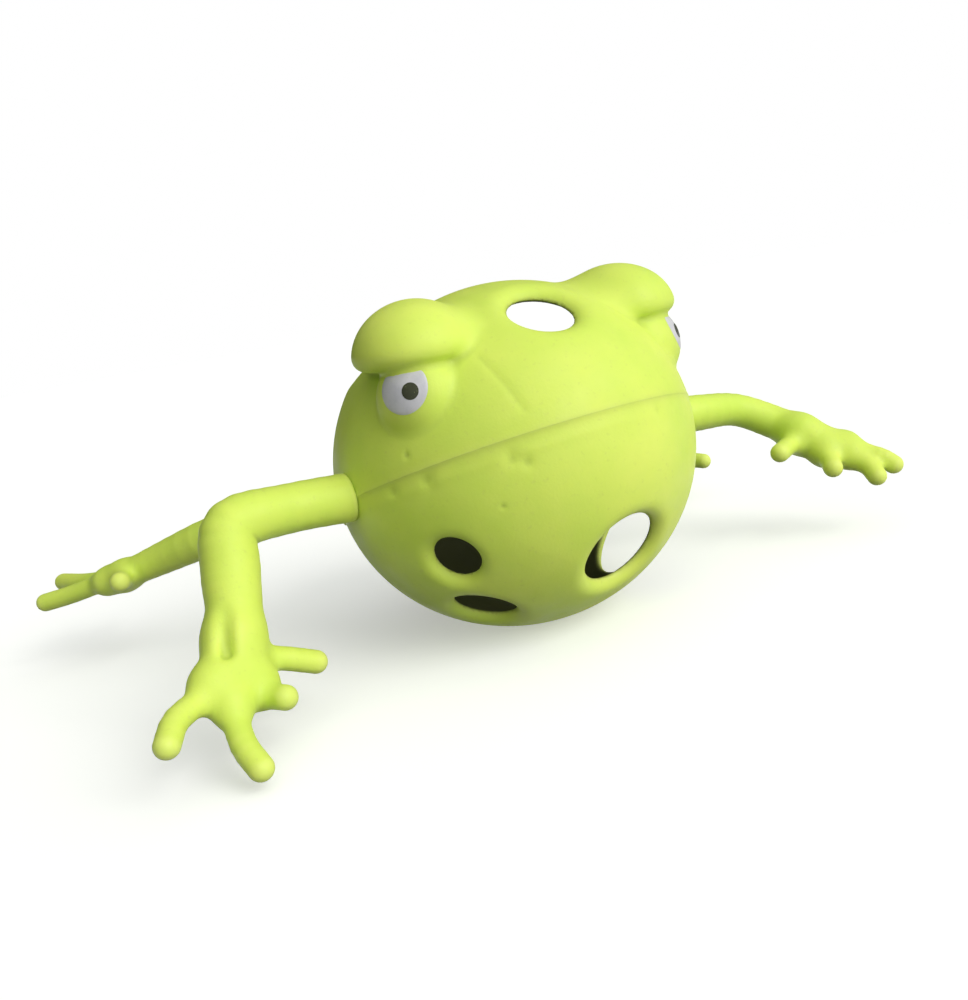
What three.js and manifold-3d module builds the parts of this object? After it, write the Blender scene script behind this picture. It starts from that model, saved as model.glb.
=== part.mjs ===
// Soft rubber ball frog: a hollow, holed ball with brows and printed eyes, and four plugged-in limbs.
// Millimetres. The frog faces -Y, +X is its left and +Z is up. The origin is the centre of the flat
// patch under the belly that it stands on.
import * as THREE from 'three';
import { ConvexGeometry } from 'three/addons/geometries/ConvexGeometry.js';
import { mergeVertices } from 'three/addons/utils/BufferGeometryUtils.js';
import Module from 'manifold-3d';

const wasm = await Module();
wasm.setup();

// ---- driving dimensions -------------------------------------------------------------------------
const BALL_RADIUS = 42.5;          // across the seam
const BALL_HALF_HEIGHT = 40;       // square to the seam
const WALL = 3;
const GAP = 0.3;                   // between pieces that meet
const PITCH = 16.5;                // degrees that the nose is tipped up
const FLAT_DEPTH = 1.3;            // how much the flat patch takes off the bottom of the ball
const REACH = 80;                  // longer than anything in the ball, for cutting tools

const FLANGE = { wall: 1.4, above: 3, below: 3 };
const PLUG = { neck: 3.4, head: 5.2, neckLength: WALL + 4 * GAP, headLength: 3.4 };
const OUTER_SEGMENTS = [40, 20];   // around and up
const INNER_SEGMENTS = [28, 14];
const BROW_SEGMENTS = [24, 12];
const HOLE_SEGMENTS = 20;
const PLUG_SEGMENTS = 14;
const RIM = 1.6;                   // width of the bevel around a hole

// Holes: polar angle from the top of the ball, turn to the frog's left from the nose, and diameter.
const HOLES = {
  head: [
    { polar: 52, turn: -1, diameter: 16.5 },
    { polar: 34.5, turn: 97, diameter: 20 },
    { polar: 34.5, turn: -97, diameter: 20 },
  ],
  belly: [
    { polar: 135, turn: 4, diameter: 17.5 },
    { polar: 118, turn: -60, diameter: 11.5 },
    { polar: 142.5, turn: -73, diameter: 14 },
    { polar: 131, turn: 88, diameter: 26 },
  ],
};

// Points are given from the ball's centre, for the frog's left side, in millimetres.
const BROW = { centre: [26.5, -12, 28.4], radii: [12.8, 14, 11.2], yaw: 27, tilt: 7, underside: 27.2 };
const EYEBALL = { centre: [28.2, -16.6, 20], radius: 9.5 };
const EYE_PRINT = {
  thickness: 0.5, white: 4.2, pupil: 1.8, whiteAim: [1, -0.92, 0.38], pupilAim: [1, -1.15, 0.36], steps: 5, segments: 20,
};

// Limbs: each point is x, y, z and radius. The digits start in the palm.
const SHOULDER_TURN = 90;
const HIP_TURN = 126;
const DIGIT = 2.4;
const RIGHT_ARM = {
  side: -1, turn: SHOULDER_TURN,
  limb: [[44, 0, 0.6, 5], [56, 0, 2, 5], [68, -1, 1.7, 5.6], [71, -4, -6, 5.8], [73, -8, -13, 5.4], [75, -11, -18, 5.2]],
  palm: [[75, -11, -18, 5.2], [82, -17, -23, 3.6], [80, -20, -26.5, 3.4], [74, -16, -26, 3.6]],
  digits: [
    [[83, -18, -24], [90, -23, -24.6], [93.2, -28, -26.5]],
    [[80, -20, -27.5], [81, -28, -31.4], [80, -33, -34.5]],
    [[74, -17, -28], [71, -24, -27.5]],
    [[73, -12, -23], [68, -12, -24], [60.7, -12, -27.5]],
  ],
};
const LEFT_ARM = {
  side: 1, turn: SHOULDER_TURN,
  limb: [[44, 0, -0.8, 5.2], [56, -3, -1.9, 4.7], [69, -3, -3.9, 4.3], [77, -8, -8.7, 4.4], [79.5, -15, -12.5, 4.4]],
  palm: [[79.5, -15, -12.5, 4.4], [86.5, -23, -17, 3.2], [85, -25, -18.5, 3.2], [81, -21, -17, 3.4]],
  digits: [
    [[86, -24, -17.5], [89.1, -31, -19.9], [90.9, -34, -22.3]],
    [[84.7, -25, -18.9], [85, -31, -21.5], [84.2, -34, -23.7]],
    [[81.3, -21, -17.5], [75.6, -28, -19.9]],
    [[79, -16, -14.5], [73, -17, -14], [66.1, -20, -14.2]],
  ],
};
const RIGHT_LEG = {
  side: -1, turn: HIP_TURN,
  limb: [[36, 26, -5, 5], [50, 36, -5.6, 5], [63, 44, -8, 4.8], [75, 56, -12.6, 4.1], [84, 64, -16, 3.4]],
  palm: [[84, 64, -16, 3.4], [88, 67, -17, 3], [86, 70, -17, 3]],
  digits: [
    [[83, 63, -15.5], [85, 58, -15.5], [86.5, 52, -14.6]],
    [[87, 67, -16.5], [96, 76, -19.5], [103, 82, -21]],
    [[86, 69, -17], [92, 81, -18.5], [97, 92, -19]],
    [[85, 69, -17], [85, 80, -19], [84, 91, -21]],
  ],
};
const LEFT_LEG = {
  side: 1, turn: HIP_TURN,
  limb: [[36, 26, -5, 5], [49, 34, -6, 5], [62, 40, -10, 4.8], [75, 45, -18, 4.1], [84, 49, -24, 3.4]],
  palm: [[84, 49, -24, 3.4], [88, 51, -26, 3], [87, 55, -26, 3]],
  digits: [
    [[86, 49, -25], [90, 43, -26], [92, 37, -26.6]],
    [[88, 51, -26], [96, 57, -28.5], [102, 63, -30]],
    [[87, 54, -26], [92, 65, -28], [95, 75, -30]],
    [[86, 55, -26], [85, 66, -28], [83, 77, -30]],
  ],
};

// ---- solids -------------------------------------------------------------------------------------
function solidOf(geometry, matrix = new THREE.Matrix4()) {
  const bare = geometry.clone().applyMatrix4(matrix);
  bare.deleteAttribute('normal');
  bare.deleteAttribute('uv');
  const merged = mergeVertices(bare, 1e-4);
  return new wasm.Manifold(new wasm.Mesh({
    numProp: 3,
    vertProperties: new Float32Array(merged.attributes.position.array),
    triVerts: new Uint32Array(merged.index.array),
  }));
}

function geometryOf(solid) {
  const { vertProperties, triVerts } = solid.getMesh();
  const geometry = new THREE.BufferGeometry();
  geometry.setAttribute('position', new THREE.BufferAttribute(new Float32Array(vertProperties), 3));
  geometry.setIndex(new THREE.BufferAttribute(new Uint32Array(triVerts), 1));
  geometry.computeVertexNormals();
  return geometry;
}

const joined = (solids) => solids.reduce((all, one) => all.add(one));

// The ball's centre stands over the lowest point of the tipped ball, where the flat patch is cut.
const pitch = THREE.MathUtils.degToRad(PITCH);
const reachDown = Math.hypot(BALL_RADIUS * Math.sin(pitch), BALL_HALF_HEIGHT * Math.cos(pitch));
const patchLag = (BALL_RADIUS ** 2 - BALL_HALF_HEIGHT ** 2) * Math.sin(pitch) * Math.cos(pitch) / reachDown;
const ballCentre = new THREE.Vector3(0, -patchLag, reachDown - FLAT_DEPTH);

// The ball's own frame: its seam plane is level, and its centre is the origin.
const ballMatrix = new THREE.Matrix4()
  .setPosition(ballCentre)
  .multiply(new THREE.Matrix4().makeRotationX(-pitch));

function ballDirection(polar, turn) {
  const p = THREE.MathUtils.degToRad(polar);
  const t = THREE.MathUtils.degToRad(turn);
  return new THREE.Vector3(Math.sin(p) * Math.sin(t), -Math.sin(p) * Math.cos(t), Math.cos(p));
}

function ball(offset, aroundSegments, upSegments) {
  const sphere = new THREE.SphereGeometry(1, aroundSegments, upSegments).rotateX(Math.PI / 2);
  sphere.scale(BALL_RADIUS + offset, BALL_RADIUS + offset, BALL_HALF_HEIGHT + offset);
  return solidOf(sphere, ballMatrix);
}

// A turned shape whose axis starts at the ball's centre and runs out along a direction.
function turnedAlong(profile, direction, segments) {
  const points = profile.map(([radius, along]) => new THREE.Vector2(radius, along));
  const turn = new THREE.Quaternion().setFromUnitVectors(new THREE.Vector3(0, 1, 0), direction);
  const place = ballMatrix.clone().multiply(new THREE.Matrix4().makeRotationFromQuaternion(turn));
  return solidOf(new THREE.LatheGeometry(points, segments), place);
}

function place([x, y, z], side) {
  return new THREE.Vector3(side * x, y, z).add(ballCentre);
}

// The convex skin around balls, each given as x, y, z and radius.
function skin(points, side) {
  const cloud = [];
  for (const [x, y, z, radius] of points) {
    const centre = place([x, y, z], side);
    const corners = mergeVertices(bareSphere(radius)).attributes.position;
    for (let i = 0; i < corners.count; i += 1) {
      cloud.push(new THREE.Vector3().fromBufferAttribute(corners, i).add(centre));
    }
  }
  return solidOf(new ConvexGeometry(cloud));
}

function bareSphere(radius) {
  const sphere = new THREE.IcosahedronGeometry(radius, 1);
  sphere.deleteAttribute('normal');
  sphere.deleteAttribute('uv');
  return sphere;
}

function chain(points, side) {
  const links = points.slice(1).map((point, i) => skin([points[i], point], side));
  return joined(links);
}

// ---- ball ---------------------------------------------------------------------------------------
const outerBall = ball(0, ...OUTER_SEGMENTS);
const innerBall = ball(-WALL, ...INNER_SEGMENTS);

function halfSpace(upper, lift) {
  const box = new THREE.BoxGeometry(2 * REACH, 2 * REACH, REACH);
  box.translate(0, 0, (upper ? 0.5 : -0.5) * REACH + lift);
  return solidOf(box, ballMatrix);
}

function holeCutter({ polar, turn, diameter }) {
  const radius = diameter / 2;
  const direction = ballDirection(polar, turn);
  const surface = Math.hypot(
    BALL_RADIUS * Math.sin(THREE.MathUtils.degToRad(polar)),
    BALL_HALF_HEIGHT * Math.cos(THREE.MathUtils.degToRad(polar)),
  );
  const profile = [
    [0, surface / 2], [radius, surface / 2], [radius, surface - RIM],
    [radius + RIM, surface], [radius + RIM, REACH], [0, REACH],
  ];
  return turnedAlong(profile, direction, HOLE_SEGMENTS);
}

const holeCutters = (half) => joined(HOLES[half].map(holeCutter));

function limbDirection({ side, turn }) {
  return ballDirection(90, side * turn);
}

function boreToward(limb, radius) {
  const profile = [[0, BALL_RADIUS / 2], [radius, BALL_RADIUS / 2], [radius, REACH], [0, REACH]];
  return turnedAlong(profile, limbDirection(limb), PLUG_SEGMENTS);
}

const LIMBS = { right_arm: RIGHT_ARM, left_arm: LEFT_ARM, right_leg: RIGHT_LEG, left_leg: LEFT_LEG };
const plugHoles = joined(Object.values(LIMBS).map((limb) => boreToward(limb, PLUG.neck + GAP)));
const plugPockets = joined(Object.values(LIMBS).map((limb) => boreToward(limb, PLUG.head + 2 * GAP)));

function eyeball(side, offset) {
  const sphere = new THREE.SphereGeometry(EYEBALL.radius + offset, 18, 10);
  return solidOf(sphere, new THREE.Matrix4().setPosition(place(EYEBALL.centre, side)));
}

// A cap over the eye, flat underneath.
function brow(side, offset) {
  const cap = new THREE.SphereGeometry(1, ...BROW_SEGMENTS).rotateX(Math.PI / 2);
  cap.scale(...BROW.radii.map((radius) => radius + offset));
  cap.rotateZ(THREE.MathUtils.degToRad(side * BROW.yaw));
  cap.rotateY(THREE.MathUtils.degToRad(side * BROW.tilt));
  const over = new THREE.BoxGeometry(2 * REACH, 2 * REACH, REACH);
  over.translate(0, 0, ballCentre.z + BROW.underside - offset + REACH / 2);
  return solidOf(cap, new THREE.Matrix4().setPosition(place(BROW.centre, side))).intersect(solidOf(over));
}

// The brows and eyeballs are hollow behind, like the rest of the wall.
function headBlank(offset) {
  const bumps = [-1, 1].flatMap((side) => [brow(side, offset), eyeball(side, offset)]);
  return joined([offset ? innerBall : outerBall, ...bumps]);
}

function headShell() {
  const shell = headBlank(0).subtract(headBlank(-WALL)).intersect(halfSpace(true, GAP / 2));
  return shell.subtract(holeCutters('head')).subtract(plugHoles);
}

function slab(from, to) {
  return halfSpace(true, from).intersect(halfSpace(false, to));
}

// The glued lap inside the seam: it is one with the belly, and stands clear inside the head's wall.
function flange() {
  const bore = ball(-(WALL + GAP + FLANGE.wall), ...INNER_SEGMENTS);
  const root = ball(-WALL / 2, ...INNER_SEGMENTS).subtract(bore).intersect(slab(-FLANGE.below, -GAP / 2));
  const lip = ball(-(WALL + GAP), ...INNER_SEGMENTS).subtract(bore);
  return root.add(lip.intersect(slab(-FLANGE.below, FLANGE.above))).subtract(plugPockets);
}

function bellyShell() {
  const floor = new THREE.BoxGeometry(2 * REACH, 2 * REACH, REACH).translate(0, 0, -REACH / 2);
  const shell = outerBall.subtract(innerBall).intersect(halfSpace(false, -GAP / 2));
  return shell.add(flange()).subtract(holeCutters('belly')).subtract(plugHoles).subtract(solidOf(floor));
}

// ---- printed eyes -------------------------------------------------------------------------------
function eyePlace(side, aim) {
  const direction = new THREE.Vector3(side * aim[0], aim[1], aim[2]).normalize();
  const turn = new THREE.Quaternion().setFromUnitVectors(new THREE.Vector3(0, 1, 0), direction);
  return new THREE.Matrix4().compose(place(EYEBALL.centre, side), turn, new THREE.Vector3(1, 1, 1));
}

// A round cap of even thickness that stands just clear of the eyeball.
function eyePrint(side, aim, radius) {
  const inside = EYEBALL.radius + GAP;
  const spread = Math.asin(radius / inside);
  const arc = (reach, share) => new THREE.Vector2(reach * Math.sin(spread * share), reach * Math.cos(spread * share));
  const shares = Array.from({ length: EYE_PRINT.steps + 1 }, (_, i) => i / EYE_PRINT.steps);
  const under = shares.map((share) => arc(inside, share));
  const over = shares.map((share) => arc(inside + EYE_PRINT.thickness, share)).reverse();
  return solidOf(new THREE.LatheGeometry([...under, ...over], EYE_PRINT.segments), eyePlace(side, aim));
}

function eyeWhite(side) {
  const radius = EYE_PRINT.pupil + GAP;
  const pen = new THREE.CylinderGeometry(radius, radius, REACH, EYE_PRINT.segments).translate(0, REACH / 2, 0);
  return eyePrint(side, EYE_PRINT.whiteAim, EYE_PRINT.white).subtract(solidOf(pen, eyePlace(side, EYE_PRINT.pupilAim)));
}

// ---- limbs --------------------------------------------------------------------------------------
function plug(limb) {
  const inner = BALL_RADIUS - PLUG.neckLength;
  const profile = [
    [0, inner - PLUG.headLength], [PLUG.head / 2, inner - PLUG.headLength], [PLUG.head, inner],
    [PLUG.neck, inner], [PLUG.neck, BALL_RADIUS + 2], [0, BALL_RADIUS + 2],
  ];
  return turnedAlong(profile, limbDirection(limb), PLUG_SEGMENTS);
}

function limbSolid(limb) {
  const digits = limb.digits.map((digit) => chain(digit.map((point) => [...point, DIGIT]), limb.side));
  const outside = joined([chain(limb.limb, limb.side), skin(limb.palm, limb.side), ...digits]);
  return outside.subtract(ball(GAP, ...OUTER_SEGMENTS)).add(plug(limb));
}

// ---- scene --------------------------------------------------------------------------------------
function lime() {
  return new THREE.MeshStandardMaterial({ color: 0xb9d44f, roughness: 0.55, metalness: 0 });
}

function white() {
  return new THREE.MeshStandardMaterial({ color: 0xd5d3dc, roughness: 0.45, metalness: 0 });
}

function black() {
  return new THREE.MeshStandardMaterial({ color: 0x2d2e18, roughness: 0.4, metalness: 0 });
}

const group = new THREE.Group();

function addPiece(name, solid, material) {
  const mesh = new THREE.Mesh(geometryOf(solid), material);
  mesh.name = name;
  group.add(mesh);
}

addPiece('head_shell', headShell(), lime());
addPiece('belly_shell', bellyShell(), lime());
for (const [name, side] of [['right', -1], ['left', 1]]) {
  addPiece(`${name}_eye_white`, eyeWhite(side), white());
  addPiece(`${name}_pupil`, eyePrint(side, EYE_PRINT.pupilAim, EYE_PRINT.pupil), black());
}
for (const [name, limb] of Object.entries(LIMBS)) {
  addPiece(name, limbSolid(limb), lime());
}

export default group;
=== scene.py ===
"""Soft rubber ball frog: smooth skins over the CAD frame, its materials, a studio and a camera."""
import math

import bpy
import numpy as np
from mathutils import Matrix, Vector


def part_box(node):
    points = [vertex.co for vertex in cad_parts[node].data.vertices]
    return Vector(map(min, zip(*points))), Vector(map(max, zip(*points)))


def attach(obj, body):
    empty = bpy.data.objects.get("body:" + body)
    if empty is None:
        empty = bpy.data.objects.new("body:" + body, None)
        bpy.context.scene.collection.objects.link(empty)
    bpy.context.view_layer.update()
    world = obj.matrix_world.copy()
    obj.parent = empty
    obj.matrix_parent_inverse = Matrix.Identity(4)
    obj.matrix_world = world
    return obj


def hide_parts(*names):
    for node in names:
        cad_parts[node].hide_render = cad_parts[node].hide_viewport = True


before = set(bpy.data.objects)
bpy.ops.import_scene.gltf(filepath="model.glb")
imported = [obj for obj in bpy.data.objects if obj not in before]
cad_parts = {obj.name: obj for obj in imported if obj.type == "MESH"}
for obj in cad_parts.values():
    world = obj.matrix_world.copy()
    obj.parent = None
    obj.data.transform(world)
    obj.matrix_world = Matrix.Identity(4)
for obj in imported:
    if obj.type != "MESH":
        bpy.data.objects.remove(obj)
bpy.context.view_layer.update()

# ---- sizes, in millimetres as in the CAD part -----------------------------------------------------
MM = 0.001
BALL_RADIUS = 42.5
BALL_HALF_HEIGHT = 40.0
WALL = 3.0
PITCH = math.radians(16.5)
FLAT_DEPTH = 1.3
ROOT_GAP = 0.15                 # between a limb's root and the ball
BORE_CLEARANCE = 0.2            # between a plug's neck and the hole it sits in
PLUG_NECK, PLUG_HEAD, PLUG_HEAD_LENGTH = 3.4, 5.2, 3.4
PLUG_HEAD_FACE = BALL_RADIUS - 4.2
NECK_MIDDLE, NECK_HALF = BALL_RADIUS - 2, 4

# How softly surfaces run together or turn over an edge.
INNER_EDGE, PATCH_EDGE, ROOT_EDGE, PLUG_EDGE = 0.8, 0.6, 0.5, 0.8
LIMB_BLEND, PALM_BLEND, WEB_BLEND = 0.2, 3.0, 2.5
KNUCKLE_BLEND, DIGIT_BLEND = 2.4, 0.1
DIMPLE_LINK, DIMPLE_EDGE = 1.0, 2.5

# Grid cells that the skins are made on, and the room around a limb and around the ball.
SHELL_STEP = 0.62
LIMB_STEP = 0.5
LIMB_MARGIN, SHELL_MARGIN = 2.2, 6
SHARP_ANGLE = math.radians(55)

REACH_DOWN = math.hypot(BALL_RADIUS * math.sin(PITCH), BALL_HALF_HEIGHT * math.cos(PITCH))
PATCH_LAG = (BALL_RADIUS**2 - BALL_HALF_HEIGHT**2) * math.sin(PITCH) * math.cos(PITCH) / REACH_DOWN
CENTRE = np.array([0.0, -PATCH_LAG, REACH_DOWN - FLAT_DEPTH])

# Holes: polar angle from the top of the ball, turn to the frog's left from the nose, diameter, and
# the width of the rolled rim.
HOLES = {
    "head": [(51.5, -1.5, 12.6, 6), (34.5, 97, 20, 4), (34.5, -97, 20, 4)],
    "belly": [(135.5, 4.5, 17, 5), (117.8, -59.5, 9.8, 4), (142.5, -73, 12.8, 5), (132.5, 88, 28, 4)],
}

# Points are given from the ball's centre, for the frog's left side.
BROW = {"centre": (26.5, -12, 28.4), "radii": (12.8, 14, 11.2),
        "yaw": math.radians(27), "tilt": math.radians(7), "underside": 26.4}
BROW_LIP = 4.0                  # how softly the brow turns under
BROW_BLEND_LOW, BROW_BLEND_RISE, BROW_BLEND_HEIGHT = 1.6, 3.4, 6    # softer higher up
EYEBALL_CENTRE, EYEBALL_RADIUS = (28.2, -16.6, 20), 9.5
EYEBALL_BLEND = 1.4
EYE_WHITE = {"aim": (1, -0.80, 0.46), "radius": 5.3, "lift": 0.06}
EYE_PUPIL = {"aim": (1, -1.19, 0.40), "radius": 1.8, "lift": 0.12}
PRINT_RINGS, PRINT_SPOKES = 14, 72
PRINT_TUCK = -2                 # the outermost ring goes below the eyeball's surface, in lifts

# Marks in the ball's own frame. The flash lines run round it level with the seam: height, how proud
# they stand, and their width. A dent is x, y, z, depth and width. The fold is a shallow crease.
FLASH = [(0.0, 0.30, 0.55), (-3.3, 0.12, 0.8)]
FLASH_LEAST, FLASH_TURN, FLASH_SPREAD = 0.45, -38, 40       # it stands proudest around this turn
DENTS = [
    (-21.5, -36.4, -3.6, 0.40, 1.7), (-19.1, -37.6, -5.3, 0.35, 1.3), (-34.6, -24.6, -2.6, 0.35, 1.6),
    (-38.9, -16.9, -2.1, 0.30, 1.4), (-36.0, -22.2, 3.8, 0.35, 0.7), (-24.4, -32.4, -11.9, 0.35, 0.5),
    (12.0, -40.5, -2.8, 0.25, 1.5), (30.2, 29.6, -3.0, 0.30, 1.5), (-8.0, 41.5, 2.6, 0.30, 1.6),
]
FOLD = [(-19.5, -33.0, 17.5), (-18.2, -36.5, 11.0), (-16.9, -38.7, 4.5)]
FOLD_DEPTH, FOLD_WIDTH, FOLD_BLEND = 0.14, 0.9, 0.3
DIMPLE = [(76.6, -14.3, -11.0, 1.0), (78.1, -17.1, -18.0, 0.8)]    # a long hollow in the right forearm

# Limbs, from the ball's centre on the frog's left side: points of x, y, z and radius. The digits all
# have the radius DIGIT, so their points have none.
DIGIT = 2.4
SHOULDER_TURN, HIP_TURN = 90, 126
LIMBS = {
    "right_arm": {
        "side": -1, "turn": SHOULDER_TURN,
        "limb": [(40, 0, 0.6, 5.4), (56, 0, 2, 5.2), (68, -1, 1.7, 5.6), (71, -4, -6, 5.8),
                 (73, -8, -13, 5.4), (75, -11, -18, 5.2)],
        "palm": [(75, -11, -18, 5.2), (82, -17, -23, 3.6), (80, -20, -26.5, 3.4), (74, -16, -26, 3.6)],
        "digits": [
            [(83, -18, -24), (90, -23, -24.6), (93.2, -28, -26.5)],
            [(80, -20, -27.5), (81, -28, -31.4), (80, -33, -34.5)],
            [(74, -17, -28), (71, -24, -27.5)],
            [(73, -12, -23), (68, -12, -24), (60.7, -12, -27.5)],
        ],
    },
    "left_arm": {
        "side": 1, "turn": SHOULDER_TURN,
        "limb": [(40, 0, -0.8, 5.4), (56, -3, -1.9, 4.7), (69, -3, -3.9, 4.3), (77, -8, -8.7, 4.4),
                 (79.5, -15, -12.5, 4.4)],
        "palm": [(79.5, -15, -12.5, 4.4), (86.5, -23, -17, 3.2), (85, -25, -18.5, 3.2), (81, -21, -17, 3.4)],
        "digits": [
            [(86, -24, -17.5), (89.1, -31, -19.9), (90.9, -34, -22.3)],
            [(84.7, -25, -18.9), (85, -31, -21.5), (84.2, -34, -23.7)],
            [(81.3, -21, -17.5), (75.6, -28, -19.9)],
            [(79, -16, -14.5), (73, -17, -14), (66.1, -20, -14.2)],
        ],
    },
    "right_leg": {
        "side": -1, "turn": HIP_TURN,
        "limb": [(33, 24, -5, 5), (50, 36, -5.6, 5), (63, 44, -8, 4.8), (75, 56, -12.6, 4.1),
                 (84, 64, -16, 3.4)],
        "palm": [(84, 64, -16, 3.4), (88, 67, -17, 3), (86, 70, -17, 3)],
        "digits": [
            [(83, 63, -15.5), (85, 58, -15.5), (86.5, 52, -14.6)],
            [(87, 67, -16.5), (96, 76, -19.5), (103, 82, -21)],
            [(86, 69, -17), (92, 81, -18.5), (97, 92, -19)],
            [(85, 69, -17), (85, 80, -19), (84, 91, -21)],
        ],
    },
    "left_leg": {
        "side": 1, "turn": HIP_TURN,
        "limb": [(33, 24, -5, 5), (49, 34, -6, 5), (62, 40, -10, 4.8), (75, 45, -18, 4.1),
                 (84, 49, -24, 3.4)],
        "palm": [(84, 49, -24, 3.4), (88, 51, -26, 3), (87, 55, -26, 3)],
        "digits": [
            [(86, 49, -25), (90, 43, -26), (92, 37, -26.6)],
            [(88, 51, -26), (96, 57, -28.5), (102, 63, -30)],
            [(87, 54, -26), (92, 65, -28), (95, 75, -30)],
            [(86, 55, -26), (85, 66, -28), (83, 77, -30)],
        ],
    },
}


# ---- distance fields -----------------------------------------------------------------------------
def smooth_min(a, b, k):
    """The smaller of two distances, with the corner between them rounded over k."""
    h = np.maximum(k - np.abs(a - b), 0.0)
    return np.minimum(a, b) - h * h / (4 * k)


def smooth_max(a, b, k):
    return -smooth_min(-a, -b, k)


def to_ball(p):
    """Points in the ball's own frame: its seam plane is level, and its centre is the origin."""
    x, y, z = (p - CENTRE).T
    return np.stack([x, y * math.cos(PITCH) - z * math.sin(PITCH),
                     y * math.sin(PITCH) + z * math.cos(PITCH)], axis=1)


def from_ball(q):
    """The reverse of to_ball."""
    x, y, z = q.T
    return CENTRE + np.stack([x, y * math.cos(PITCH) + z * math.sin(PITCH),
                              z * math.cos(PITCH) - y * math.sin(PITCH)], axis=1)


def ball_direction(polar, turn):
    polar, turn = math.radians(polar), math.radians(turn)
    return np.array([math.sin(polar) * math.sin(turn), -math.sin(polar) * math.cos(turn), math.cos(polar)])


def ellipsoid_field(q, radii):
    radii = np.array(radii)
    k0 = np.linalg.norm(q / radii, axis=1)
    k1 = np.linalg.norm(q / radii**2, axis=1)
    return k0 * (k0 - 1) / np.maximum(k1, 1e-9)


def ball_field(q):
    return ellipsoid_field(q, (BALL_RADIUS, BALL_RADIUS, BALL_HALF_HEIGHT))


def capsule_field(p, a, b, radius_a, radius_b):
    """A round rod from a to b that may taper."""
    a, b = np.array(a, float), np.array(b, float)
    along = b - a
    t = np.clip((p - a) @ along / max(along @ along, 1e-9), 0, 1)
    return np.linalg.norm(p - a - t[:, None] * along, axis=1) - (radius_a + t * (radius_b - radius_a))


def smooth_path(points, pieces=4):
    """A rounded path through points of x, y, z and radius."""
    rows = [np.array(point, float) for point in points]
    rows = [2 * rows[0] - rows[1], *rows, 2 * rows[-1] - rows[-2]]
    path = []
    for a, b, c, d in zip(rows, rows[1:], rows[2:], rows[3:]):
        for t in np.arange(pieces) / pieces:
            path.append(b + (c - a) * t / 2 + (a - 2.5 * b + 2 * c - d / 2) * t**2
                        + (1.5 * b - a / 2 - 1.5 * c + d / 2) * t**3)
    return [*path, rows[-2]]


def chain_field(p, points, k):
    """Rods from point to point, run together over k."""
    field = None
    for start, end in zip(points, points[1:]):
        link = capsule_field(p, start[:3], end[:3], start[3], end[3])
        field = link if field is None else smooth_min(field, link, k)
    return field


def from_centre(p, side):
    """Points from the ball's centre, mirrored so that the frog's left side is at +x."""
    return (p - CENTRE) * np.array([side, 1, 1])


def axis_field(q, direction):
    """Distance from the half line that runs out from the ball's centre, and how far along it."""
    along = q @ direction
    return np.linalg.norm(q - along[:, None] * direction, axis=1), along


def brow_field(m):
    """A tilted cap over the eye, cut off level below with a soft lip."""
    x, y, z = (m - np.array(BROW["centre"])).T
    c, d = math.cos(BROW["tilt"]), math.sin(BROW["tilt"])
    x, z = x * c - z * d, x * d + z * c
    c, d = math.cos(BROW["yaw"]), math.sin(BROW["yaw"])
    cap = ellipsoid_field(np.stack([x * c + y * d, y * c - x * d, z], axis=1), BROW["radii"])
    return smooth_max(cap, BROW["underside"] - m[:, 2], BROW_LIP)


def marks_field(q):
    """How far the small marks lift the surface at points in the ball's frame."""
    turn = np.degrees(np.arctan2(q[:, 0], -q[:, 1]))
    share = FLASH_LEAST + (1 - FLASH_LEAST) * np.exp(-((turn - FLASH_TURN) / FLASH_SPREAD) ** 2)
    lift = sum(height * share * np.exp(-((q[:, 2] - level) / width) ** 2) for level, height, width in FLASH)
    for x, y, z, depth, width in DENTS:
        lift = lift - depth * np.exp(-((q - np.array([x, y, z])) ** 2).sum(1) / width**2)
    crease = chain_field(q, [point + (0.0,) for point in FOLD], FOLD_BLEND)
    return lift - FOLD_DEPTH * np.exp(-(crease / FOLD_WIDTH) ** 2)


def outer_field(p, half):
    """The ball with no wall, holes or marks yet. The head half has its brows and eyeballs."""
    q = to_ball(p)
    field = ball_field(q)
    if half == "head":
        for side in (-1, 1):
            m = from_centre(p, side)
            above = np.clip((m[:, 2] - BROW["underside"]) / BROW_BLEND_HEIGHT, 0, 1)
            field = smooth_min(field, brow_field(m), BROW_BLEND_LOW + BROW_BLEND_RISE * above)
            eye = np.linalg.norm(m - np.array(EYEBALL_CENTRE), axis=1) - EYEBALL_RADIUS
            field = smooth_min(field, eye, EYEBALL_BLEND)
    return field


def bored_shell(p, half):
    """The wall of one half, with its holes, before it is cut off at the seam."""
    q = to_ball(p)
    wall = outer_field(p, half)
    field = wall - marks_field(q)
    for polar, turn, diameter, roll in HOLES[half]:
        radial, along = axis_field(q, ball_direction(polar, turn))
        hole = np.maximum(radial - diameter / 2, -along)
        field = smooth_max(field, -hole, roll)
    field = smooth_max(field, -(wall + WALL), INNER_EDGE)
    for turn in (SHOULDER_TURN, HIP_TURN):
        for side in (-1, 1):
            radial, along = axis_field(q, ball_direction(90, side * turn))
            bore = np.maximum(radial - PLUG_NECK - BORE_CLEARANCE, -along)
            field = np.maximum(field, -bore)
    return smooth_max(field, -p[:, 2], PATCH_EDGE)


def shell_field(p, half):
    level = to_ball(p)[:, 2]
    return np.maximum(bored_shell(p, half), -level if half == "head" else level)


def palm_field(m, points):
    """A web between the wrist and the knuckles."""
    field = None
    for i, start in enumerate(points):
        for end in points[i + 1:]:
            link = capsule_field(m, start[:3], end[:3], start[3], end[3])
            field = link if field is None else smooth_min(field, link, WEB_BLEND)
    return field


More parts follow.
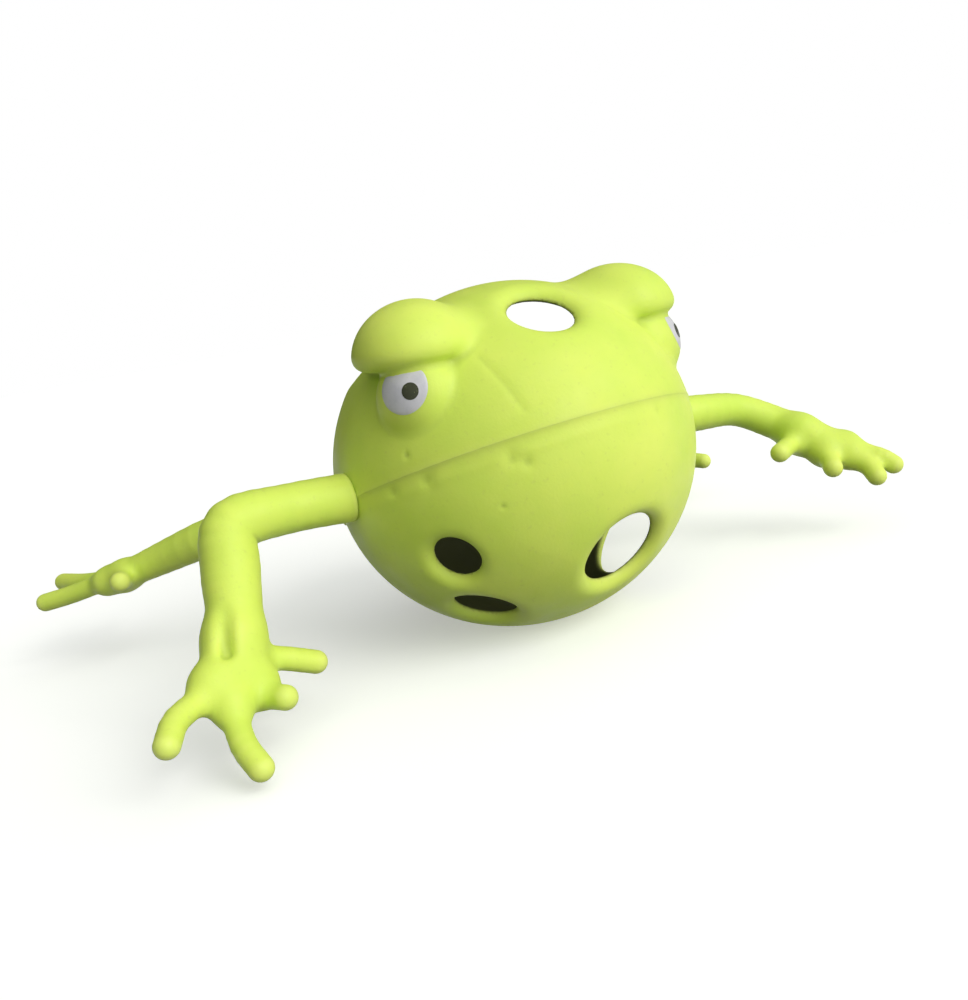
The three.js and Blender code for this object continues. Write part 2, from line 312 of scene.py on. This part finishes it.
def limb_field(p, limb):
    """A limb with its palm and digits, and the plug on its root."""
    m = from_centre(p, limb["side"])
    field = chain_field(m, smooth_path(limb["limb"]), LIMB_BLEND)
    field = smooth_min(field, palm_field(m, limb["palm"]), PALM_BLEND)
    for digit in limb["digits"]:
        path = smooth_path([point + (DIGIT,) for point in digit], 3)
        field = smooth_min(field, chain_field(m, path, DIGIT_BLEND), KNUCKLE_BLEND)
    if limb["side"] * limb["turn"] == -SHOULDER_TURN:
        field = smooth_max(field, -chain_field(m, DIMPLE, DIMPLE_LINK), DIMPLE_EDGE)
    q = to_ball(p)
    field = smooth_max(field, -(ball_field(q) - ROOT_GAP), ROOT_EDGE)
    radial, along = axis_field(q, ball_direction(90, limb["side"] * limb["turn"]))
    neck = np.maximum(radial - PLUG_NECK, np.abs(along - NECK_MIDDLE) - NECK_HALF)
    taper = PLUG_HEAD - (PLUG_HEAD_FACE - along) / PLUG_HEAD_LENGTH * PLUG_HEAD / 2
    middle = PLUG_HEAD_FACE - PLUG_HEAD_LENGTH / 2
    head = smooth_max(radial - taper, np.abs(along - middle) - PLUG_HEAD_LENGTH / 2, PLUG_EDGE)
    return np.minimum(np.minimum(field, neck), head)


# ---- meshes --------------------------------------------------------------------------------------
def sample_box(function, low, high, step):
    """Values of function on a grid that fills a box."""
    counts = np.ceil((np.array(high) - low) / step).astype(int) + 1
    axes = [low[i] + step * np.arange(counts[i]) for i in range(3)]
    grid = np.empty(counts)
    for i, x in enumerate(axes[0]):
        y, z = np.meshgrid(axes[1], axes[2], indexing="ij")
        points = np.stack([np.full(y.size, x), y.ravel(), z.ravel()], axis=1)
        grid[i] = function(points).reshape(y.shape)
    return grid


def crossings_along(grid, axis):
    """Grid edges that the surface crosses: where each starts, the crossing, and if it starts inside."""
    near, far = [slice(None)] * 3, [slice(None)] * 3
    near[axis], far[axis] = slice(None, -1), slice(1, None)
    start, end = grid[tuple(near)], grid[tuple(far)]
    where = np.argwhere((start < 0) != (end < 0))
    start, end = start[tuple(where.T)], end[tuple(where.T)]
    at = where.astype(float)
    at[:, axis] += start / (start - end)
    return where, at, start < 0


def cells_around(where, axis):
    """The four cells that share each grid edge, in turn around it."""
    ring = []
    for du, dv in ((0, 0), (1, 0), (1, 1), (0, 1)):
        cell = where.copy()
        cell[:, (axis + 1) % 3] -= du
        cell[:, (axis + 2) % 3] -= dv
        ring.append(cell)
    return ring


def surface_net(function, low, high, step):
    """Vertices and quads of the zero surface of function in a box."""
    grid = sample_box(function, low, high, step)
    cells = np.array(grid.shape) - 1
    crossings = [crossings_along(grid, axis) for axis in range(3)]
    total, weight = np.zeros((*cells, 3)), np.zeros(cells)
    for axis, (where, at, _) in enumerate(crossings):
        for cell in cells_around(where, axis):
            good = np.all((cell >= 0) & (cell < cells), axis=1)
            key = tuple(cell[good].T)
            np.add.at(weight, key, 1)
            np.add.at(total, key, at[good])
    used = weight > 0
    number = -np.ones(cells, int)
    number[used] = np.arange(used.sum())
    vertices = np.array(low) + step * total[used] / weight[used][:, None]
    quads = []
    for axis, (where, _, forward) in enumerate(crossings):
        ring = cells_around(where, axis)
        good = np.all([np.all((cell >= 0) & (cell < cells), axis=1) for cell in ring], axis=0)
        face = np.stack([number[tuple(cell[good].T)] for cell in ring], axis=1)
        face[~forward[good]] = face[~forward[good]][:, ::-1]
        quads.append(face)
    return vertices, np.concatenate(quads)


PROBE = 0.05                    # how far to each side a slope is measured
LEAST_SLOPE = 0.05              # squared, so that flat spots do not throw a vertex far


def settle(function, vertices, step, rounds=3, flat=False):
    """Moves vertices onto the zero surface, only sideways where flat is set."""
    for _ in range(rounds):
        value = function(vertices)
        slope = np.stack([(function(vertices + PROBE * e) - function(vertices - PROBE * e)) / (2 * PROBE)
                          for e in np.eye(3)], axis=1)
        if flat:
            slope[:, 2] = 0
        push = value[:, None] * slope / np.maximum((slope**2).sum(1), LEAST_SLOPE)[:, None]
        length = np.linalg.norm(push, axis=1, keepdims=True)
        vertices = vertices - push * np.minimum(1, 0.5 * step / np.maximum(length, 1e-9))
    return vertices


def mesh_object(name, vertices, faces, material, body, slot, *nodes):
    """A smooth-shaded piece that rides on a body and stands for CAD nodes."""
    mesh = bpy.data.meshes.new(name)
    mesh.from_pydata((vertices * MM).tolist(), [], faces.tolist())
    mesh.materials.append(material)
    mesh.validate()
    mesh.shade_smooth()
    mesh.set_sharp_from_angle(angle=SHARP_ANGLE)
    piece = bpy.data.objects.new(name, mesh)
    bpy.context.scene.collection.objects.link(piece)
    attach(piece, body)
    if nodes:
        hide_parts(*nodes)
    return piece


def limb_skin(name, limb):
    low, high = (np.array(corner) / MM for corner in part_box(name))
    low, high = low - LIMB_MARGIN, high + LIMB_MARGIN
    vertices, faces = surface_net(lambda p: limb_field(p, limb), low, high, LIMB_STEP)
    vertices = settle(lambda p: limb_field(p, limb), vertices, LIMB_STEP)
    return mesh_object(f"{name}_skin", vertices, faces, lime, f"{name}_body", "lime_rubber", name)


SEAM_OVERLAP = 1.5              # in grid cells, as the two below
SEAM_REACH = 0.501              # half a cell, with room for rounding
WALL_REACH = 0.8


def half_skin(half):
    """One half of the ball. Its grid lies level with the seam, so that the cut comes out clean."""
    step = SHELL_STEP
    reach = step * (math.ceil((BALL_RADIUS + SHELL_MARGIN) / step) + 0.5)
    near = SEAM_OVERLAP * step
    low, high = np.array([-reach, -reach, -near]), np.array([reach, reach, reach])
    if half == "belly":
        low[2], high[2] = -reach, near
    vertices, faces = surface_net(lambda q: shell_field(from_ball(q), half), low, high, step)
    rim = np.abs(vertices[:, 2]) < SEAM_REACH * step
    wall = settle(lambda q: bored_shell(from_ball(q), half), vertices, step)
    on_wall = np.abs(bored_shell(from_ball(vertices), half)) < WALL_REACH * step
    vertices[~rim] = wall[~rim]
    edge = rim & on_wall
    vertices[rim, 2] = 0
    vertices[edge] = settle(lambda q: bored_shell(from_ball(q), half), vertices[edge], step, flat=True)
    name = f"{half}_skin"
    return mesh_object(name, from_ball(vertices), faces, lime, "ball", "lime_rubber", f"{half}_shell")


def eye_print(name, side, layer, material, slot, node):
    """A thin printed disc on the eyeball."""
    centre = np.array(EYEBALL_CENTRE) * np.array([side, 1, 1]) + CENTRE
    x, y, z = layer["aim"]
    turn = Vector((0, 0, 1)).rotation_difference(Vector((side * x, y, z)).normalized()).to_matrix()
    vertices, faces = [], []
    for ring in range(PRINT_RINGS + 1):
        height = EYEBALL_RADIUS + layer["lift"] * (1 if ring < PRINT_RINGS else PRINT_TUCK)
        tip = math.asin(ring / PRINT_RINGS * layer["radius"] / EYEBALL_RADIUS)
        for spoke in range(PRINT_SPOKES):
            round_it = 2 * math.pi * spoke / PRINT_SPOKES
            x, y = math.sin(tip) * math.cos(round_it), math.sin(tip) * math.sin(round_it)
            way = turn @ Vector((x, y, math.cos(tip)))
            vertices.append(centre + np.array(way) * height)
    for ring in range(1, PRINT_RINGS + 1):
        here, there = ring * PRINT_SPOKES, (ring - 1) * PRINT_SPOKES
        for spoke in range(PRINT_SPOKES):
            after = (spoke + 1) % PRINT_SPOKES
            faces.append((there + spoke, here + spoke, here + after, there + after))
    return mesh_object(name, np.array(vertices), np.array(faces), material, "ball", slot, node)


# ---- materials -----------------------------------------------------------------------------------
# The deep, pale and fleck tones are the rubber's own. The colour for convex edges is a painted highlight,
# the colour for creases is painted shade, and the inside colour is painted shade on the unlit inner wall.
LIME = {"deep": (0.66, 0.85, 0.115), "pale": (0.80, 0.93, 0.16), "fleck": (0.62, 0.72, 0.14),
        "painted_edge_highlight": (0.90, 0.97, 0.30), "painted_crease_shade": (0.40, 0.50, 0.07), "inside": (0.135, 0.145, 0.055)}
WHITE_INK = ((0.56, 0.55, 0.62), (0.70, 0.68, 0.74))
PUPIL_INK = ((0.020, 0.022, 0.010), (0.045, 0.050, 0.022))
PINHOLE = (0.52, 0.60, 0.22)
BEND_REACH = 1.3                # how far out a bend is felt for
EDGE_FROM, CREASE_FROM, BEND_SPAN = 0.25, 0.05, 0.7
# The inner colour is painted shade on the unlit inside of the wall.
INSIDE_FROM = 0.8               # share of the wall's thickness where its inner colour begins


class Paint:
    """A Principled material and the nodes that feed it, laid out by object coordinates."""

    def __init__(self, name, roughness, specular):
        self.material = bpy.data.materials.new(name)
        self.material.use_nodes = True
        self.tree = self.material.node_tree
        self.shader = self.tree.nodes["Principled BSDF"]
        self.shader.inputs["Roughness"].default_value = roughness
        self.shader.inputs["Specular IOR Level"].default_value = specular
        self.place = self.tree.nodes.new("ShaderNodeTexCoord").outputs["Object"]
        self.bumped = None

    def noise(self, scale, detail, rough):
        node = self.tree.nodes.new("ShaderNodeTexNoise")
        node.inputs["Scale"].default_value = scale
        node.inputs["Detail"].default_value = detail
        node.inputs["Roughness"].default_value = rough
        self.tree.links.new(self.place, node.inputs["Vector"])
        return node.outputs["Fac"]

    def spread(self, value, low, high, to_low, to_high):
        """Stretches low to high over to_low to to_high."""
        node = self.tree.nodes.new("ShaderNodeMapRange")
        for socket, number in zip(list(node.inputs)[1:5], (low, high, to_low, to_high)):
            socket.default_value = number
        self.tree.links.new(value, node.inputs["Value"])
        return node.outputs["Result"]

    def mix(self, factor, first, second):
        node = self.tree.nodes.new("ShaderNodeMix")
        node.data_type = "RGBA"
        self.tree.links.new(factor, node.inputs["Factor"])
        for socket, colour in ((node.inputs["A"], first), (node.inputs["B"], second)):
            if isinstance(colour, tuple):
                socket.default_value = (*colour, 1)
            else:
                self.tree.links.new(colour, socket)
        return node.outputs["Result"]

    def attribute(self, name):
        node = self.tree.nodes.new("ShaderNodeAttribute")
        node.attribute_name = name
        return node.outputs["Fac"]

    def bump(self, height, depth, strength):
        node = self.tree.nodes.new("ShaderNodeBump")
        node.inputs["Distance"].default_value = depth
        node.inputs["Strength"].default_value = strength
        self.tree.links.new(height, node.inputs["Height"])
        if self.bumped:
            self.tree.links.new(self.bumped, node.inputs["Normal"])
        self.bumped = node.outputs["Normal"]

    def finish(self, colour, roughness):
        self.tree.links.new(colour, self.shader.inputs["Base Color"])
        self.tree.links.new(roughness, self.shader.inputs["Roughness"])
        self.tree.links.new(self.bumped, self.shader.inputs["Normal"])
        return self.material


def lime_rubber():
    """Soft matte rubber: clouded pigment, a fine grain, a painted highlight on convex edges, painted shade
    in the creases and painted shade on the inner wall.
    """
    paint = Paint("lime_rubber", 0.5, 0.35)
    clouds = paint.spread(paint.noise(38, 4, 0.55), 0.32, 0.68, 0, 1)
    colour = paint.mix(clouds, LIME["deep"], LIME["pale"])
    flecks = paint.spread(paint.noise(900, 2, 0.6), 0.60, 0.78, 0, 0.35)
    colour = paint.mix(flecks, colour, LIME["fleck"])
    # Painted highlight: convex edges and rims are mixed towards a paler, brighter lime.
    painted_edge_highlight = paint.attribute("edge")
    colour = paint.mix(paint.spread(painted_edge_highlight, 0.15, 1, 0, 0.35), colour, LIME["painted_edge_highlight"])
    # Painted shade: creases are mixed towards a darker lime.
    crease_shade_mask = paint.attribute("crease")
    colour = paint.mix(paint.spread(crease_shade_mask, 0.15, 1, 0, 0.5), colour, LIME["painted_crease_shade"])
    # Painted shade: the inner wall of the shell is mixed towards a dark olive.
    colour = paint.mix(paint.attribute("inside"), colour, LIME["inside"])
    roughness = paint.spread(paint.noise(140, 4, 0.6), 0.3, 0.7, 0.42, 0.62)
    paint.bump(paint.noise(85, 3, 0.5), 0.0006, 0.22)
    paint.bump(paint.noise(1500, 3, 0.6), 0.0001, 0.35)
    shader = paint.shader
    shader.inputs["Subsurface Weight"].default_value = 0.3
    shader.inputs["Subsurface Radius"].default_value = (0.9, 1.0, 0.2)
    shader.inputs["Subsurface Scale"].default_value = 0.0035
    return paint.finish(colour, roughness)


def ink(name, tones, roughness):
    """A satin print that is a little uneven and shows pinholes."""
    paint = Paint(name, roughness, 0.5)
    clouds = paint.spread(paint.noise(260, 4, 0.6), 0.3, 0.7, 0, 1)
    colour = paint.mix(clouds, *tones)
    holes = paint.spread(paint.noise(2600, 2, 0.6), 0.68, 0.74, 0, 0.5)
    colour = paint.mix(holes, colour, PINHOLE)
    paint.bump(paint.noise(1900, 3, 0.6), 0.00008, 0.4)
    patches = paint.spread(paint.noise(420, 3, 0.5), 0.3, 0.7, roughness - 0.08, roughness + 0.1)
    return paint.finish(colour, patches)


def shade_by_bend(piece, function, depth=None):
    """Stores how far each vertex stands on an edge, in a crease, or on the inside of the wall, as masks for
    the painted edge highlight, the painted crease shade and the painted inner shade.
    """
    mesh = piece.data
    points = np.empty(3 * len(mesh.vertices))
    mesh.vertices.foreach_get("co", points)
    points = points.reshape(-1, 3) / MM
    total = sum(function(points + BEND_REACH * sign * e) for e in np.eye(3) for sign in (-1, 1))
    bend = (total - 6 * function(points)) / BEND_REACH**2
    inside = np.zeros(len(points))
    if depth is not None:
        inside = (depth(points) / WALL - INSIDE_FROM) / (1 - INSIDE_FROM)
    marks = {"edge": (bend - EDGE_FROM) / BEND_SPAN, "crease": (-bend - CREASE_FROM) / BEND_SPAN,
             "inside": inside}
    for name, value in marks.items():
        layer = mesh.attributes.new(name, "FLOAT", "POINT")
        layer.data.foreach_set("value", np.clip(value, 0, 1).astype(np.float32))


# ---- the frog ------------------------------------------------------------------------------------
lime = lime_rubber()
white_ink = ink("eye_white_ink", WHITE_INK, 0.42)
pupil_ink = ink("pupil_ink", PUPIL_INK, 0.36)

for half in ("head", "belly"):
    shade_by_bend(half_skin(half), lambda p: bored_shell(p, half), lambda p: -outer_field(p, half))
for name, limb in LIMBS.items():
    shade_by_bend(limb_skin(name, limb), lambda p: limb_field(p, limb))
for word, side in (("right", -1), ("left", 1)):
    eye_print(f"{word}_eye_white_print", side, EYE_WHITE, white_ink, "eye_white_ink", f"{word}_eye_white")
    eye_print(f"{word}_pupil_print", side, EYE_PUPIL, pupil_ink, "pupil_ink", f"{word}_pupil")


# ---- studio --------------------------------------------------------------------------------------
SENSOR = 36
FOCAL = 0.929752                # focal length as a share of the sensor's width
UNIT = 41.1                     # millimetres in one unit of the camera's distances
CAMERA = {"elevation": 12.5, "azimuth": 28, "roll": 10.3, "distance": 5.2, "right": 0.17, "down": -0.26}
LIGHT_FROM = Vector((0.30, -0.78, 0.55)).normalized()
KEY_ANGLE, KEY_ENERGY, KEY_COLOUR = math.radians(38), 1.35, (1, 0.985, 0.95)
SKY_FACING, SKY_STRENGTH, SKY_TINT = (-0.2, 1.0), (0.035, 1.02), (0.96, 1.0, 0.93, 1)
FLOOR_REACH = 6.0               # in metres
FLOOR_TONE, FLOOR_GLOW = 0.9, 0.38


def camera():
    e, a, roll = (math.radians(CAMERA[key]) for key in ("elevation", "azimuth", "roll"))
    outward = Vector((-math.sin(a) * math.cos(e), -math.cos(a) * math.cos(e), math.sin(e)))
    level = (-outward).cross(Vector((0, 0, 1))).normalized()
    down = (-outward).cross(level)
    right = level * math.cos(roll) + down * math.sin(roll)
    down = -level * math.sin(roll) + down * math.cos(roll)
    place = outward * CAMERA["distance"] - right * CAMERA["right"] - down * CAMERA["down"]
    data = bpy.data.cameras.new("camera")
    data.sensor_fit = "HORIZONTAL"
    data.sensor_width = SENSOR
    data.lens = SENSOR * FOCAL
    data.clip_start = 0.01
    rig = bpy.data.objects.new("camera", data)
    bpy.context.scene.collection.objects.link(rig)
    turn = Matrix((right, -down, outward)).transposed().to_4x4()
    rig.matrix_world = Matrix.Translation(Vector(CENTRE) * MM + place * UNIT * MM) @ turn
    bpy.context.scene.camera = rig


def key_light():
    data = bpy.data.lights.new("key", "SUN")
    data.angle = KEY_ANGLE
    data.energy = KEY_ENERGY
    data.color = KEY_COLOUR
    light = bpy.data.objects.new("key", data)
    light.rotation_euler = LIGHT_FROM.to_track_quat("Z", "Y").to_euler()
    bpy.context.scene.collection.objects.link(light)


def soft_sky():
    """White behind the object, and a large soft light above it that falls off to the far side."""
    world = bpy.data.worlds.new("world")
    bpy.context.scene.world = world
    world.use_nodes = True
    tree = world.node_tree
    light = tree.nodes["Background"]
    way = tree.nodes.new("ShaderNodeTexCoord").outputs["Generated"]
    facing = tree.nodes.new("ShaderNodeVectorMath")
    facing.operation = "DOT_PRODUCT"
    tree.links.new(way, facing.inputs[0])
    facing.inputs[1].default_value = LIGHT_FROM
    strength = tree.nodes.new("ShaderNodeMapRange")
    for socket, number in zip(list(strength.inputs)[1:5], SKY_FACING + SKY_STRENGTH):
        socket.default_value = number
    tree.links.new(facing.outputs["Value"], strength.inputs["Value"])
    tree.links.new(strength.outputs["Result"], light.inputs["Strength"])
    light.inputs["Color"].default_value = SKY_TINT
    backdrop = tree.nodes.new("ShaderNodeBackground")
    backdrop.inputs["Color"].default_value = (1, 1, 1, 1)
    choose = tree.nodes.new("ShaderNodeMixShader")
    tree.links.new(tree.nodes.new("ShaderNodeLightPath").outputs["Is Camera Ray"], choose.inputs["Fac"])
    tree.links.new(light.outputs["Background"], choose.inputs[1])
    tree.links.new(backdrop.outputs["Background"], choose.inputs[2])
    tree.links.new(choose.outputs["Shader"], tree.nodes["World Output"].inputs["Surface"])


def pale_floor():
    """A matte floor that glows a little, so that it meets the white behind it without a line."""
    mesh = bpy.data.meshes.new("floor")
    corners = [(x * FLOOR_REACH, y * FLOOR_REACH, 0) for x, y in ((-1, -1), (1, -1), (1, 1), (-1, 1))]
    mesh.from_pydata(corners, [], [(0, 1, 2, 3)])
    floor = bpy.data.objects.new("floor", mesh)
    material = bpy.data.materials.new("pale_floor")
    material.use_nodes = True
    shader = material.node_tree.nodes["Principled BSDF"]
    shader.inputs["Base Color"].default_value = (FLOOR_TONE, FLOOR_TONE, FLOOR_TONE, 1)
    shader.inputs["Roughness"].default_value = 1
    shader.inputs["Specular IOR Level"].default_value = 0
    shader.inputs["Emission Color"].default_value = (1, 1, 1, 1)
    shader.inputs["Emission Strength"].default_value = FLOOR_GLOW
    mesh.materials.append(material)
    floor.visible_diffuse = False
    bpy.context.scene.collection.objects.link(floor)


def studio():
    key_light()
    soft_sky()
    pale_floor()
    bpy.context.scene.view_settings.view_transform = "Standard"


camera()
studio()
